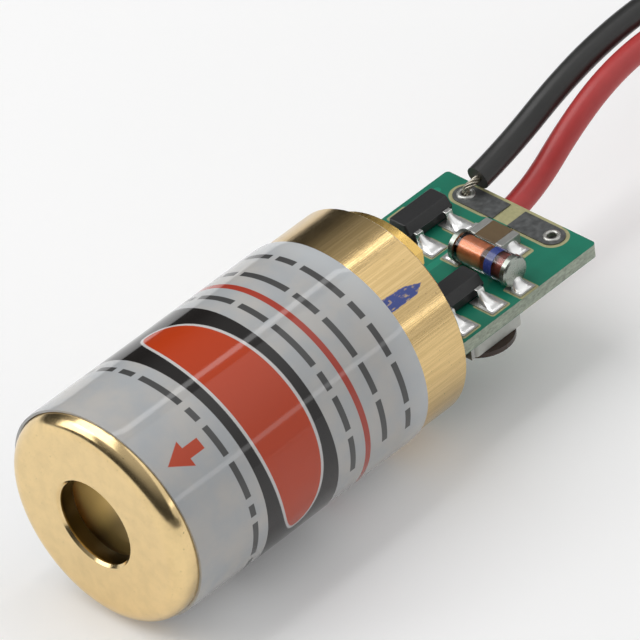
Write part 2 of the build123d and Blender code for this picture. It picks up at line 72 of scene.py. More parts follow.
@dataclass(frozen=True)
class Cloud:
    """A pattern of cloudy noise in the part's own frame.

    The size of its blotches is in millimetres, the stretch makes them longer along X, Y and Z, and the
    detail is its octaves of finer noise. Where it has a step, it rises from 0 to 1 between two levels.
    """

    size: float
    stretch: Point = (1.0, 1.0, 1.0)
    detail: float = 3.0
    step: tuple[float, ...] = ()


def joining(operation: str, swapped: bool = False) -> Callable[["Value", Number], "Value"]:
    """Make an operator that joins a value and another by one Math node.

    Args:
        operation: the Math node's operation.
        swapped: whether the other one comes first, as it does for a reflected operator.

    Returns:
        The operator, to be a method of Value.
    """

    def joined(value: "Value", other: Number) -> "Value":
        """The Math node's result."""
        inputs = (other, value) if swapped else (value, other)
        return value.shader.node("ShaderNodeMath", {"operation": operation}, dict(enumerate(inputs)))

    return joined


class Value:
    """A number that changes over a surface; its operators add Math nodes to the material.

    As masks, two values joined by & show where both are, and by | where either is.
    """

    __add__ = __radd__ = joining("ADD")
    __sub__ = joining("SUBTRACT")
    __rsub__ = joining("SUBTRACT", swapped=True)
    __mul__ = __rmul__ = joining("MULTIPLY")
    __truediv__ = joining("DIVIDE")
    __rtruediv__ = joining("DIVIDE", swapped=True)
    __pow__ = joining("POWER")
    __and__ = joining("MINIMUM")
    __or__ = joining("MAXIMUM")

    def __init__(self, shader: "Shader", socket: bpy.types.NodeSocket) -> None:
        """Keep the socket and the material that it belongs to."""
        self.shader = shader
        self.socket = socket

    def math(self, operation: str, *others: Number) -> "Value":
        """One Math node's result, with this value as its first input."""
        return self.shader.node("ShaderNodeMath", {"operation": operation}, dict(enumerate((self, *others))))

    def __abs__(self) -> "Value":
        """This value without its sign."""
        return self.math("ABSOLUTE")

    def __invert__(self) -> "Value":
        """Where this mask isn't."""
        return 1.0 - self

    def rise(self, low: float, high: float) -> "Value":
        """A smooth step from 0 at one limit to 1 at the other.

        Args:
            low: where the step starts.
            high: where the step ends; it may be the lower number, and then the step falls.

        Returns:
            The stepped value.
        """
        limits = {"Value": self, "From Min": low, "From Max": high}
        return self.shader.node("ShaderNodeMapRange", {"interpolation_type": "SMOOTHSTEP"}, limits)

    def over(self, floor: float) -> "Value":
        """How far this value is over a floor, or 0 below it."""
        return (self - floor).math("MAXIMUM", 0.0)

    def within(self, low: float, high: float, soft: float) -> "Value":
        """A mask that is 1 between two limits and fades over a soft width outside them."""
        return self.rise(low - soft, low) & self.rise(high + soft, high)


class Shader:
    """A material's nodes, and the numbers of the Mix node's two colour inputs and its colour output."""

    mix_ends = (6, 7)
    mix_result = 2

    def __init__(self, tree: bpy.types.NodeTree) -> None:
        """Start from an empty node tree."""
        self.tree = tree
        self.tree.nodes.clear()

    def node(self, kind: str, settings: Settings, inputs: Inputs, output: Union[str, int] = 0) -> Value:
        """Add any node.

        Args:
            kind: the node's type.
            settings: its own settings, set first.
            inputs: values or links by socket name or number.
            output: the socket to hand back.

        Returns:
            The node's output.
        """
        made = self.tree.nodes.new(kind)
        for name, setting in settings.items():
            setattr(made, name, setting)
        for name, value in inputs.items():
            socket = made.inputs[name]
            if isinstance(value, Value):
                self.tree.links.new(value.socket, socket)
            else:
                socket.default_value = value
        return Value(self, made.outputs[output]) if made.outputs else None

    def finish(self, kind: str, surface: Value) -> None:
        """Link a surface to the output node, which ends the material."""
        self.node(kind, {}, {"Surface": surface})

    def place(self) -> Value:
        """The Object coordinates, which are the part's own frame in metres."""
        return self.node("ShaderNodeTexCoord", {}, {}, "Object")

    def carried(self, name: str) -> Value:
        """A vector attribute that a mesh carries."""
        return self.node("ShaderNodeAttribute", {"attribute_name": name}, {}, "Vector")

    def split(self, vector: Value, scale: float = 1.0) -> tuple[Value, Value, Value]:
        """The three numbers of a vector.

        Args:
            vector: the vector to take apart.
            scale: a factor on all three, such as 1000 for millimetres.

        Returns:
            The x, y and z values.
        """
        scaled = self.node("ShaderNodeVectorMath", {"operation": "SCALE"}, {0: vector, "Scale": scale})
        parts = self.node("ShaderNodeSeparateXYZ", {}, {0: scaled}).socket.node
        return tuple(Value(self, socket) for socket in parts.outputs)

    def noise(self, cloud: Cloud) -> Value:
        """Cloudy noise in the part's own frame.

        Args:
            cloud: the pattern.

        Returns:
            Values about one half, or from 0 to 1 where the pattern has a step.
        """
        factors = tuple(1.0 / (cloud.size * MM * longer) for longer in cloud.stretch)
        scaled = self.node("ShaderNodeVectorMath", {"operation": "MULTIPLY"}, {0: self.place(), 1: factors})
        inputs = {"Vector": scaled, "Scale": 1.0, "Detail": cloud.detail}
        level = self.node("ShaderNodeTexNoise", {}, inputs)
        return level.rise(*cloud.step) if cloud.step else level

    def mix(self, factor: Number, first: object, second: object) -> Value:
        """A colour between two others.

        Args:
            factor: 0 for the first and 1 for the second.
            first: a colour or a colour output.
            second: a colour or a colour output.

        Returns:
            The mixed colour.
        """
        ends = [part if isinstance(part, Value) else (*part, 1.0) for part in (first, second)]
        settings = {"data_type": "RGBA", "clamp_factor": True}
        inputs = {0: factor, **dict(zip(self.mix_ends, ends))}
        return self.node("ShaderNodeMix", settings, inputs, self.mix_result)

    def mottled(self, level: Value, colour: Colour, shades: Pair) -> Value:
        """A colour that a level takes from one shade of it to another."""
        return self.mix(level, *(shaded(colour, factor) for factor in shades))

    def layered(self, tone: object, layers: Iterable[tuple[Value, object]]) -> Value:
        """A colour with other colours laid over it in turn.

        Args:
            tone: the first colour.
            layers: for each later colour, the mask where it shows and the colour.

        Returns:
            The colour with all its layers.
        """
        for mask, colour in layers:
            tone = self.mix(mask, tone, colour)
        return tone

    def bump(self, height: Value, depth: float) -> Value:
        """A normal that follows a height from 0 to 1, whose depth is in millimetres."""
        return self.node("ShaderNodeBump", {}, {"Height": height, "Strength": 1.0, "Distance": depth * MM})


@dataclass(frozen=True)
class Finish:
    """A surface finish: its plain numbers, and a grain that moves its colour, gloss and relief."""

    name: str
    colour: Colour
    roughness: float = 0.5
    metallic: float = 0.0
    coat: float = 0.0
    coat_roughness: float = 0.06
    specular: float = 0.5
    transmission: float = 0.0
    ior: float = 1.5
    grain_size: float = 0.25
    grain_colour: float = 0.12
    grain_gloss: float = 0.12
    grain_depth: float = 0.004

    def material(self) -> bpy.types.Material:
        """Make the finish's material, once.

        Returns:
            The material.
        """
        if self.name in MADE:
            return MADE[self.name]
        made = MADE[self.name] = bpy.data.materials.new(self.name)
        made.use_nodes = True
        shader = Shader(made.node_tree)
        plain = {
            "Base Color": (*self.colour, 1.0),
            "Roughness": self.roughness,
            "Metallic": self.metallic,
            "Coat Weight": self.coat,
            "Coat Roughness": self.coat_roughness,
            "Specular IOR Level": self.specular,
            "Transmission Weight": self.transmission,
            "IOR": self.ior,
        }
        surface = shader.node("ShaderNodeBsdfPrincipled", {}, {**plain, **self.varying(shader)})
        shader.finish("ShaderNodeOutputMaterial", surface)
        made.diffuse_color = (*self.colour, 1.0)
        return made

    def varying(self, shader: Shader) -> Inputs:
        """What changes over the surface: cloudy noise lightens and darkens it, and roughens it.

        Args:
            shader: the material's nodes.

        Returns:
            Links for the surface's sockets.
        """
        cloud = shader.noise(Cloud(self.grain_size))
        gloss = self.roughness + (cloud - NOISE_MIDDLE) * (2 * self.grain_gloss)
        return {
            "Base Color": shader.mottled(cloud, self.colour, (1 - self.grain_colour, 1 + self.grain_colour)),
            "Roughness": gloss,
            "Normal": shader.bump(cloud, self.grain_depth),
        }


@dataclass(frozen=True)
class TurnedBrass(Finish):
    """Turned brass: faint rings and smudges on the nose, deeper brass with fine lines behind the film.

    The aperture's wall is painted dark as shade, and a hand-drawn ink stroke lies on the band behind the
    film.
    """

    radius: float = 5.25
    bore: Pair = (2.22, 2.16)
    bore_depth: Pair = (0.13, 0.24)
    bore_painted_shade: float = 0.12
    ring_scale: float = 11.0
    ring_detail: float = 2.0
    ring_height: float = 0.4
    dulling: Cloud = Cloud(0.55, (1.0, 1.6, 1.0), 4.0, (0.45, 0.75))
    specks: Cloud = Cloud(0.1, detail=2.0)
    dulled: float = 0.90
    dull_shares: Pair = (0.6, 0.3)
    dull_gloss: float = 0.05
    speck_gloss: float = 0.12
    smudges: Cloud = Cloud(0.8, detail=6.0, step=(0.36, 0.74))
    smudge_shares: Pair = (0.7, 0.35)
    smudge_shade: float = 0.87
    pits: Cloud = Cloud(0.09, detail=1.0, step=(0.72, 0.77))
    pit_shade: float = 0.45
    band_start: Pair = (1.2, 2.4)
    band: Colour = (0.73, 0.52, 0.245)
    band_share: float = 0.75
    lines: Cloud = Cloud(0.07, (1.0, 30.0, 1.0), 2.0)
    streaks: Cloud = Cloud(0.08, (1.0, 45.0, 1.0), 3.0, (0.66, 0.38))
    streak: Colour = (0.66, 0.47, 0.215)
    stroke: tuple[Pair, ...] = ()
    ink: Colour = (0.055, 0.085, 0.32)
    ink_gloss: float = 0.4
    ink_wander: float = 0.09
    ink_edge: Pair = (-0.02, 0.03)
    upper_side: Pair = (0.0, 0.5)
    ragged: Cloud = Cloud(0.16)
    scratches: Cloud = Cloud(0.07, (1.0, 5.0, 1.0), 2.0, (0.54, 0.61))
    rubbed: Cloud = Cloud(0.5, detail=2.0, step=(0.45, 0.58))
    rubbed_share: float = 0.7

    def varying(self, shader: Shader) -> Inputs:
        """Rings about the axis on the nose, lines along Y on the band, then each layer of wear, the painted
        shade in the bore and the ink.

        Args:
            shader: the material's nodes.

        Returns:
            Links for the surface's sockets.
        """
        x, y, z = shader.split(shader.place(), 1 / MM)
        from_axis = (x * x + z * z).math("SQRT")
        ringed = {"W": from_axis - y, "Scale": self.ring_scale, "Detail": self.ring_detail}
        rings = shader.node("ShaderNodeTexNoise", {"noise_dimensions": "1D"}, ringed)
        dulling = shader.noise(self.dulling)
        specks = shader.noise(self.specks)
        on_band = y.rise(*self.band_start)
        inked = self.inked(shader, x, y, z)
        dulled = dulling * self.dull_shares[0] + specks * self.dull_shares[1]
        smudged = shader.noise(self.smudges) * self.smudge_shares[0] + rings * self.smudge_shares[1]
        tone = shader.layered(self.colour, (
            (dulled, shaded(self.colour, self.dulled)),
            (on_band * self.band_share, self.band),
            (shader.noise(self.streaks) * on_band, self.streak),
            (smudged * ~on_band, shaded(self.colour, self.smudge_shade)),
            (shader.noise(self.pits), shaded(self.colour, self.pit_shade)),
            # painted shade: the aperture's wall darkened where shade falls in the bore
            (from_axis.rise(*self.bore) & y.rise(*self.bore_depth), shaded(self.colour, self.bore_painted_shade)),
            (inked, self.ink),
        ))
        marks = rings * ~on_band * self.ring_height + shader.noise(self.lines) * on_band
        gloss = self.roughness + dulling * self.dull_gloss + (specks - NOISE_MIDDLE) * self.speck_gloss
        return {
            "Base Color": tone,
            "Metallic": ~inked,
            "Roughness": gloss * ~inked + inked * self.ink_gloss,
            "Normal": shader.bump(marks, self.grain_depth),
        }

    def inked(self, shader: Shader, x: Value, y: Value, z: Value) -> Value:
        """The ink stroke: inside every edge of its outline on the unrolled barrel, less its scratches.

        Args:
            shader: the material's nodes.
            x, y, z: the place in millimetres.

        Returns:
            A mask that is 1 in the ink.
        """
        ragged = (shader.noise(self.ragged) - NOISE_MIDDLE) * self.ink_wander
        along = y + ragged
        around = x.math("ARCTAN2", z) * self.radius + ragged
        inside = z.rise(*self.upper_side)
        for (y0, a0), (y1, a1) in zip(self.stroke, self.stroke[1:] + self.stroke[:1]):
            run_y, run_a = y1 - y0, a1 - a0
            length = hypot(run_y, run_a)
            edge = (along - y0) * (run_a / length) - (around - a0) * (run_y / length)
            inside = inside & edge.rise(*self.ink_edge)
        worn = shader.noise(self.scratches) * shader.noise(self.rubbed) * self.rubbed_share
        return inside * ~worn


@dataclass(frozen=True)
class PrintedFilm(Finish):
    """Silver-grey film under a clear gloss layer, printed with plain fields of colour."""

    mm_per_degree: float = 0.0944
    clouding: Cloud = Cloud(1.6, detail=4.0)
    clouds: Pair = (0.3, 0.7)
    cloud_gloss: float = 0.2
    cool: Colour = (0.44, 0.457, 0.472)
    warm: Colour = (0.515, 0.50, 0.477)
    handling: Cloud = Cloud(0.5, (1.0, 6.0, 1.0))
    band: Pair = (5.0, 9.42)
    oval: Five = (44.5, 6.9, 6.95, 1.4, 2.0)
    oval_power: float = 2.2
    oval_edge: Pair = (1.03, 0.98)
    outline: float = 0.16
    ring: Pair = (11.15, 11.45)
    arrow: tuple[float, ...] = (42.6, 1.55, 2.68, 3.55, 0.66, 0.27)
    arrow_tail: float = 2.05
    rows: tuple[tuple[float, float, tuple[float, ...]], ...] = ()
    row_half: float = 0.15
    bar_gap: float = 4.5
    bar_soft: float = 0.4
    black: Colour = (0.014, 0.012, 0.011)
    grey: Colour = (0.07, 0.07, 0.07)
    margin: Pair = (13.2, 15.1)
    margin_share: float = 0.6
    pale: Colour = (0.60, 0.63, 0.65)
    orange: Colour = (0.52, 0.050, 0.008)
    red: Colour = (0.42, 0.05, 0.028)
    white: Colour = (0.62, 0.61, 0.60)
    soft: float = 0.03

    def varying(self, shader: Shader) -> Inputs:
        """The printed fields over the film's cloudy grey, and the gloss layer's fine handling marks.

        Args:
            shader: the material's nodes.

        Returns:
            Links for the surface's sockets.
        """
        around, along, _ = shader.split(shader.carried("film_place"))
        cloud = shader.noise(self.clouding)
        tone = shader.layered(self.cool, (
            (cloud.rise(*self.clouds), self.warm),
            (along.rise(*self.margin) * self.margin_share, self.pale),
            (along.within(*self.band, self.soft), self.black),
            (self.inside_oval(around, along, 0.0), self.white),
            (self.inside_oval(around, along, self.outline), self.orange),
            (along.within(*self.ring, self.soft), self.red),
            (self.inside_arrow(around, along), self.orange),
            (self.inside_rows(around, along), self.grey),
        ))
        return {
            "Base Color": tone,
            "Roughness": self.roughness + (cloud - NOISE_MIDDLE) * self.cloud_gloss,
            "Normal": shader.bump(shader.noise(self.handling), self.grain_depth),
        }

    def inside_oval(self, around: Value, along: Value, inset: float) -> Value:
        """The field with round ends: a superellipse, deeper behind its tips than ahead of them.

        Args:
            around: degrees round the barrel.
            along: millimetres along the film.
            inset: how far inside its outer edge.

        Returns:
            A mask that is 1 inside.
        """
        middle_around, tips_along, half_around, ahead, behind = self.oval
        u = abs((around - middle_around) * self.mm_per_degree / (half_around - inset))
        v = (tips_along - along) / (ahead - inset) | (along - tips_along) / (behind - inset)
        return (u**self.oval_power + v**self.oval_power).rise(*self.oval_edge)

    def inside_arrow(self, around: Value, along: Value) -> Value:
        """The arrow: a triangle whose half width grows from its tip, and a straight tail.

        Args:
            around: degrees round the barrel.
            along: millimetres along the film.

        Returns:
            A mask that is 1 inside.
        """
        middle, tip, neck, end, half_head, half_tail = self.arrow
        off = abs((around - middle) * self.mm_per_degree)
        slope = half_head / (neck - tip)
        soft = self.soft
        head = ((along - tip) * slope - off).rise(-soft, soft) & along.rise(neck + soft, neck)
        tail = off.rise(half_tail + soft, half_tail) & along.within(self.arrow_tail, end, soft)
        return head | tail

    def inside_rows(self, around: Value, along: Value) -> Value:
        """Rows of plain bars, each row at its own place along the film and from its own first angle.

        Args:
            around: degrees round the barrel.
            along: millimetres along the film.

        Returns:
            A mask that is 1 in the bars.
        """
        total: Number = 0.0
        for place, first, bars in self.rows:
            row = along.within(place - self.row_half, place + self.row_half, self.soft)
            for width in bars:
                total = row * around.within(first, first + width, self.bar_soft) + total
                first += width + self.bar_gap
        return total


@dataclass(frozen=True)
class MaskedLaminate(Finish):
    """A glass-fibre board: green mask on its faces with bare openings round the pads, and pale cut edges."""

    top: float = -0.10
    bottom: float = -0.74
    cut_soft: float = 0.02
    clouding: Cloud = Cloud(1.4, detail=4.0)
    cloud_shades: Pair = (0.8, 1.25)
    openings: tuple[Five, ...] = ()
    opening_gloss: float = 0.2
    traces: tuple[Five, ...] = ()
    trace_share: float = 0.8
    trace_shade: float = 1.5
    trace_height: float = 0.7
    weave: Cloud = Cloud(0.18, (1.0, 1.0, 0.3))
    weave_shades: Pair = (0.8, 1.3)
    weave_height: float = 0.3
    layers: Cloud = Cloud(0.16, (1.6, 1.6, 0.6), 5.0, (0.2, 0.8))
    layer_shades: Pair = (0.66, 1.25)
    cut_gloss: float = 0.3
    soft: float = 0.04
    bare: Colour = (0.38, 0.36, 0.19)
    edge: Colour = (0.40, 0.45, 0.36)

    def varying(self, shader: Shader) -> Inputs:
        """Green with raised traces, the bare openings, and layers of fibre on the cut edges.

        Args:
            shader: the material's nodes.

        Returns:
            Links for the surface's sockets.
        """
        x, y, z = shader.split(shader.place(), 1 / MM)
        weave = shader.noise(self.weave)
        traced = self.patches(x, y, self.traces)
        opened = self.patches(x, y, self.openings)
        is_cut = z.within(self.bottom, self.top, self.cut_soft)
        green = shader.mottled(shader.noise(self.clouding), self.colour, self.cloud_shades)
        tone = shader.layered(green, (
            (traced * self.trace_share, shaded(self.colour, self.trace_shade)),
            (opened, shader.mottled(weave, self.bare, self.weave_shades)),
            (is_cut, shader.mottled(shader.noise(self.layers), self.edge, self.layer_shades)),
        ))
        height = traced * ~opened * self.trace_height + weave * self.weave_height
        return {
            "Base Color": tone,
            "Roughness": self.roughness + opened * self.opening_gloss + is_cut * self.cut_gloss,
            "Normal": shader.bump(height, self.grain_depth),
        }

    def patches(self, x: Value, y: Value, places: tuple) -> Value:
        """A mask that is 1 inside any of several patches with round corners.

        Args:
            x, y: the place in millimetres.
            places: for each patch its middle x and y, its half sizes and its corners' radius.

        Returns:
            The mask.
        """
        total: Number = 0.0
        for middle_x, middle_y, half_x, half_y, corner in places:
            over_x = abs(x - middle_x).over(half_x - corner)
            over_y = abs(y - middle_y).over(half_y - corner)
            out = (over_x * over_x + over_y * over_y).math("SQRT")
            total = out.rise(corner + self.soft, corner).math("MAXIMUM", total)
        return total


@dataclass(frozen=True)
class AmberLens(Finish):
    """An amber lens with painted shade: darker towards one side and its own colour towards the other, as
    light from that side would leave it.
    """

    # heading: from the painted shade towards the lit side of the lens
    heading: Pair = (-0.75, 0.66)
    shade_edges: Pair = (-0.7, 0.6)
    painted_shade: float = 0.28

    def varying(self, shader: Shader) -> Inputs:
        """The painted shade, which eases from dark to the lens's own colour along a line across the lens.

        Args:
            shader: the material's nodes.

        Returns:
            A link for the surface's colour.
        """
        x, _, z = shader.split(shader.place(), 1 / MM)
        across = x * self.heading[0] + z * self.heading[1]
        painted_shade = shaded(self.colour, self.painted_shade)
        return {"Base Color": shader.mix(across.rise(*self.shade_edges), painted_shade, self.colour)}


@dataclass(frozen=True)
class PaleFloor(Finish):
    """A matt floor that eyes, metal and glass see a little paler than its own light makes it."""

    lift: float = 0.12

    def varying(self, shader: Shader) -> Inputs:
        """A faint glow, for rays from the camera, from gloss and through glass alone.

        Args:
            shader: the material's nodes.

        Returns:
            Links for the surface's sockets.
        """
        path = shader.node("ShaderNodeLightPath", {}, {}).socket.node.outputs
        seen = [Value(shader, path[f"Is {kind} Ray"]) for kind in ("Camera", "Glossy", "Transmission")]
        glow = (seen[0] | seen[1] | seen[2]) * self.lift
        return {**super().varying(shader), "Emission Color": glow, "Emission Strength": 1.0}


class Finishes(Enum):
    """Every finish on the module, by what it is on."""

    BRASS = TurnedBrass(
        "turned_brass", (0.88, 0.66, 0.34), roughness=0.17, metallic=1.0, grain_depth=0.003,
        stroke=((14.6, 3.62), (14.6, 4.36), (16.84, 4.36), (17.36, 4.05), (16.5, 3.74)),
    )
    HOLDER_BRASS = Finish("holder_brass", (0.78, 0.52, 0.16), roughness=0.28, metallic=1.0)
    FILM = PrintedFilm(
        "printed_film", (0.48, 0.485, 0.485), roughness=0.45, coat=1.0, coat_roughness=0.07, specular=0.0,
        grain_depth=0.0012,
        rows=(
            (4.22, -70, (9, 21, 12, 8, 24, 7, 16, 19, 6, 22, 11)),
            (10.35, -64, (15, 11, 23, 16, 26, 9, 18, 21)),
            (12.35, -58, (18, 10, 29, 14, 22, 16, 24)),
            (13.85, -55, (13, 20, 11, 25, 9, 17, 22, 12)),
        ),
    )
    LENS = AmberLens("lens_optic", (0.97, 0.66, 0.22), roughness=0.3, metallic=0.1, coat=0.6)
    STEEL = Finish("spring_steel", (0.55, 0.55, 0.56), roughness=0.3, metallic=1.0)
    GOLD = Finish("gold_plate", (0.85, 0.62, 0.26), roughness=0.25, metallic=1.0)
    CHIP = Finish("bare_chip", (0.10, 0.10, 0.11), roughness=0.2)
    SEAL = Finish("seal_bead", (0.08, 0.10, 0.10), roughness=0.2)
    WINDOW = Finish("clear_window", (0.9, 0.9, 0.88), roughness=0.03, transmission=1.0)
    LAMINATE = MaskedLaminate(
        "masked_laminate", (0.011, 0.185, 0.115), roughness=0.34, coat=0.12, coat_roughness=0.15,
        specular=0.35, grain_depth=0.012,
        openings=(
            (-1.88, 26.55, 1.5, 0.75, 0.74), (1.88, 26.55, 1.5, 0.75, 0.74), (0.0, 26.75, 2.5, 0.75, 0.1),
            (-1.24, 22.75, 0.58, 0.57, 0.1), (-1.24, 24.65, 0.58, 0.57, 0.1), (-3.85, 23.7, 0.46, 0.57, 0.1),
            (3.7, 19.45, 0.61, 0.57, 0.1), (3.7, 21.35, 0.61, 0.57, 0.1), (1.0, 20.4, 0.46, 0.57, 0.1),
            (0.1, 23.0, 0.52, 0.58, 0.1), (3.95, 23.0, 0.55, 0.58, 0.1),
            (-0.35, 24.77, 0.46, 0.58, 0.1), (2.05, 24.77, 0.56, 0.58, 0.1),
        ),
        traces=(
            (-3.1, 21.0, 0.16, 1.9, 0.15), (-0.35, 21.3, 0.16, 2.4, 0.15), (-3.9, 25.3, 0.16, 0.9, 0.15),
            (0.2, 18.9, 3.4, 0.16, 0.15),
        ),
    )
    PAD = Finish("tinned_pad", (0.14, 0.145, 0.145), roughness=0.4, metallic=0.6, grain_colour=0.55,
                 grain_gloss=0.2, grain_size=0.3, grain_depth=0.015)
    TIN = Finish("matt_tin", (0.72, 0.72, 0.70), roughness=0.28, metallic=1.0)
    BRIGHT_PAD = Finish("bright_pad", (0.58, 0.58, 0.56), roughness=0.36, metallic=0.8, grain_size=0.25,
                        grain_colour=0.3, grain_depth=0.006)
    SOLDER = Finish("bright_solder", (0.92, 0.92, 0.91), roughness=0.30, metallic=0.7, grain_size=0.3,
                    grain_colour=0.05, grain_gloss=0.06, grain_depth=0.002)
    HOLE_SOLDER = Finish("hole_solder", (0.54, 0.54, 0.51), roughness=0.36, metallic=0.8, grain_size=0.12,
                         grain_colour=0.35)
    # painted shade: a near-black finish for the empty wire hole's filling, where shade falls in the hole
    HOLE_SHADE = Finish("painted_hole_shade", (0.035, 0.033, 0.028), roughness=0.3, grain_size=0.12)
    MOULDING = Finish("black_moulding", (0.022, 0.022, 0.023), roughness=0.38, specular=0.45, grain_size=0.06,
                      grain_colour=0.3, grain_depth=0.006)
    DIODE_GLASS = Finish("diode_glass", (0.98, 0.97, 0.95), roughness=0.02, transmission=1.0, ior=1.2,
                         coat=1.0, coat_roughness=0.02, grain_colour=0.01, grain_gloss=0.01,
                         grain_depth=0.001)
    BAND = Finish("band_paint", (0.035, 0.055, 0.24), roughness=0.25, coat=0.5, grain_size=0.12)
    SLUG = Finish("copper_slug", (0.84, 0.26, 0.11), roughness=0.36, metallic=0.6, grain_colour=0.25)
    # painted shade: a darker copy of the copper slug, for the right slug lying in shade under the blue band
    SHADED_SLUG = Finish("shaded_slug", (0.34, 0.10, 0.08), roughness=0.4, metallic=0.6, grain_colour=0.25)
    CAP = Finish("plated_cap", (0.36, 0.39, 0.35), roughness=0.28, metallic=0.95)
    BROWN_CERAMIC = Finish("brown_ceramic", (0.13, 0.085, 0.04), roughness=0.42)
    DARK_CERAMIC = Finish("dark_ceramic", (0.02, 0.02, 0.022), roughness=0.3)
    # Partly a duller tin, partly painted shade: darker than the leads' tin, standing in for the shade round
    # the chip ends
    CHIP_END = Finish("chip_end", (0.42, 0.42, 0.40), roughness=0.42, metallic=0.8)
    GREY_CERAMIC = Finish("grey_ceramic", (0.58, 0.59, 0.55), roughness=0.5)
    ROTOR = Finish("brown_rotor", (0.042, 0.020, 0.012), roughness=0.1, specular=0.5)
    BLACK_SLEEVE = Finish("black_sleeve", (0.024, 0.024, 0.023), roughness=0.36, grain_size=0.5,
                          grain_colour=0.2, grain_depth=0.006)
    RED_SLEEVE = Finish("red_sleeve", (0.50, 0.046, 0.045), roughness=0.36, grain_size=0.5, grain_colour=0.1,
                        grain_depth=0.006)
    STRAND = Finish("tinned_strand", (0.54, 0.50, 0.42), roughness=0.3, metallic=1.0)
    TIE = Finish("tie_strip", (0.03, 0.03, 0.03), roughness=0.5)
    FLOOR = PaleFloor("pale_floor", (0.90, 0.90, 0.90), roughness=0.8, grain_size=60.0, grain_colour=0.005,
                      grain_gloss=0.03, grain_depth=0.0)


NODE_FINISHES: dict[Finishes, tuple[str, ...]] = {
    Finishes.BRASS: ("housing",),
    Finishes.HOLDER_BRASS: ("diode_holder",),
    Finishes.FILM: ("label",),
    Finishes.LENS: ("lens",),
    Finishes.STEEL: ("lens_spring", "diode_can"),
    Finishes.GOLD: ("diode_header", "diode_leads"),
    Finishes.CHIP: ("diode_submount", "diode_chip", "monitor_chip"),
    Finishes.SEAL: ("diode_seals",),
    Finishes.WINDOW: ("diode_window",),
    Finishes.LAMINATE: ("driver_board",),
    Finishes.PAD: ("wire_pads",),
    Finishes.BRIGHT_PAD: ("component_pads",),
    Finishes.TIN: ("left_transistor_leads", "right_transistor_leads"),
    Finishes.CHIP_END: ("capacitor_ends", "resistor_ends", "trimmer_tabs"),
    Finishes.SOLDER: ("top_solder", "bottom_solder"),
    Finishes.MOULDING: ("left_transistor", "right_transistor"),
    Finishes.DIODE_GLASS: ("glass_diode_tube",),
    Finishes.SLUG: ("glass_diode_slugs",),
    Finishes.CAP: ("glass_diode_caps",),
    Finishes.BROWN_CERAMIC: ("capacitor",),
    Finishes.DARK_CERAMIC: ("resistors",),
    Finishes.GREY_CERAMIC: ("trimmer_base",),
    Finishes.ROTOR: ("trimmer_rotor",),
    Finishes.BLACK_SLEEVE: ("black_lead", "lead_coil"),
    Finishes.RED_SLEEVE: ("red_lead",),
    Finishes.STRAND: ("black_conductor", "red_conductor", "lead_tips"),
    Finishes.TIE: ("coil_tie",),
}


def dress_nodes() -> None:
    """Give every CAD node its finish, in the material slots that it has."""
    for finish, nodes in NODE_FINISHES.items():
        for node in nodes:
            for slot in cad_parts[node].material_slots:
                slot.material = finish.value.material()
        LOG.info("dressed %s in %s", ", ".join(nodes), finish.value.name)


def placed(name: str, data: bpy.types.ID) -> Piece:
    """Make an object in the scene, at the origin.

    Args:
        name: its name.
        data: its mesh, curve, lamp or camera.

    Returns:
        The object.
    """
    made = bpy.data.objects.new(name, data)
    bpy.context.scene.collection.objects.link(made)
    return made


def full_turn(columns: int) -> np.ndarray:
    """The angles of one full turn, as a row."""
    return np.linspace(0.0, tau, columns, endpoint=False)[None, :]


def upright(pairs: Iterable[tuple[float, ...]]) -> list[np.ndarray]:
    """A profile's numbers as one column for each place in its entries."""
    return [np.array(part)[:, None] for part in zip(*pairs)]


def stacked(x: np.ndarray, y: np.ndarray, z: np.ndarray) -> np.ndarray:
    """Points from their three coordinates, each spread over the whole grid."""
    return np.stack(np.broadcast_arrays(x, y, z), axis=-1)


def grid_faces(rows: int, columns: int, ring: bool) -> np.ndarray:
    """The faces of a tube grid: each row is a closed loop of points, and rows follow each other.

    Args:
        rows: loops along the path.
        columns: points in each loop.
        ring: whether the last row meets the first.

    Returns:
        Four point numbers for each face.
    """
    row, column = np.meshgrid(np.arange(rows if ring else rows - 1), np.arange(columns), indexing="ij")
    beside = (column + 1) % columns
    after = (row + 1) % rows * columns
    here = row * columns
    return np.stack([here + column, here + beside, after + beside, after + column], axis=-1).reshape(-1, 4)


def smooth(mesh: bpy.types.Mesh, crease: float) -> None:
    """Shade a mesh smooth, with sharp edges where it turns by more degrees than the crease."""
    mesh.polygons.foreach_set("use_smooth", np.ones(len(mesh.polygons), bool))
    mesh.set_sharp_from_angle(angle=radians(crease))


def loops_piece(name: str, stacks: list[np.ndarray], crease: float = 50.0, ring: bool = False) -> Piece:
    """A piece of one or more closed tubes, each a ring or with its two end loops closed by one face.

    Args:
        name: the piece's name.
        stacks: for each tube, its points as rows of closed loops, in millimetres.
        crease: edges that turn by more degrees than this stay sharp.
        ring: whether each tube's last loop meets its first.

    Returns:
        The piece, in the scene and at the origin.
    """
    faces, start = [], 0
    for stack in stacks:
        rows, columns = stack.shape[:2]
        loop = np.arange(columns) + start
        faces += (grid_faces(rows, columns, ring) + start).tolist()
        if not ring:
            faces += [loop[::-1].tolist(), (loop + (rows - 1) * columns).tolist()]
        start += rows * columns
    mesh = bpy.data.meshes.new(name)
    mesh.from_pydata(np.concatenate([stack.reshape(-1, 3) for stack in stacks]) * MM, [], faces)
    smooth(mesh, crease)
    return placed(name, mesh)


def fit(piece: Piece, finish: Finishes, slot: str, *nodes: str) -> Piece:
    """Finish a piece, put it on the module and let it stand for CAD nodes.

    Args:
        piece: the piece.
        finish: its finish.
        slot: not used.
        nodes: the CAD nodes that it stands for.

    Returns:
        The same piece.
    """
    piece.data.materials.append(finish.value.material())
    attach(piece, ROOT)
    if nodes:
        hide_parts(*nodes)
    LOG.info("made %s for %s", piece.name, ", ".join(nodes) or "nothing in the frame")
    return piece


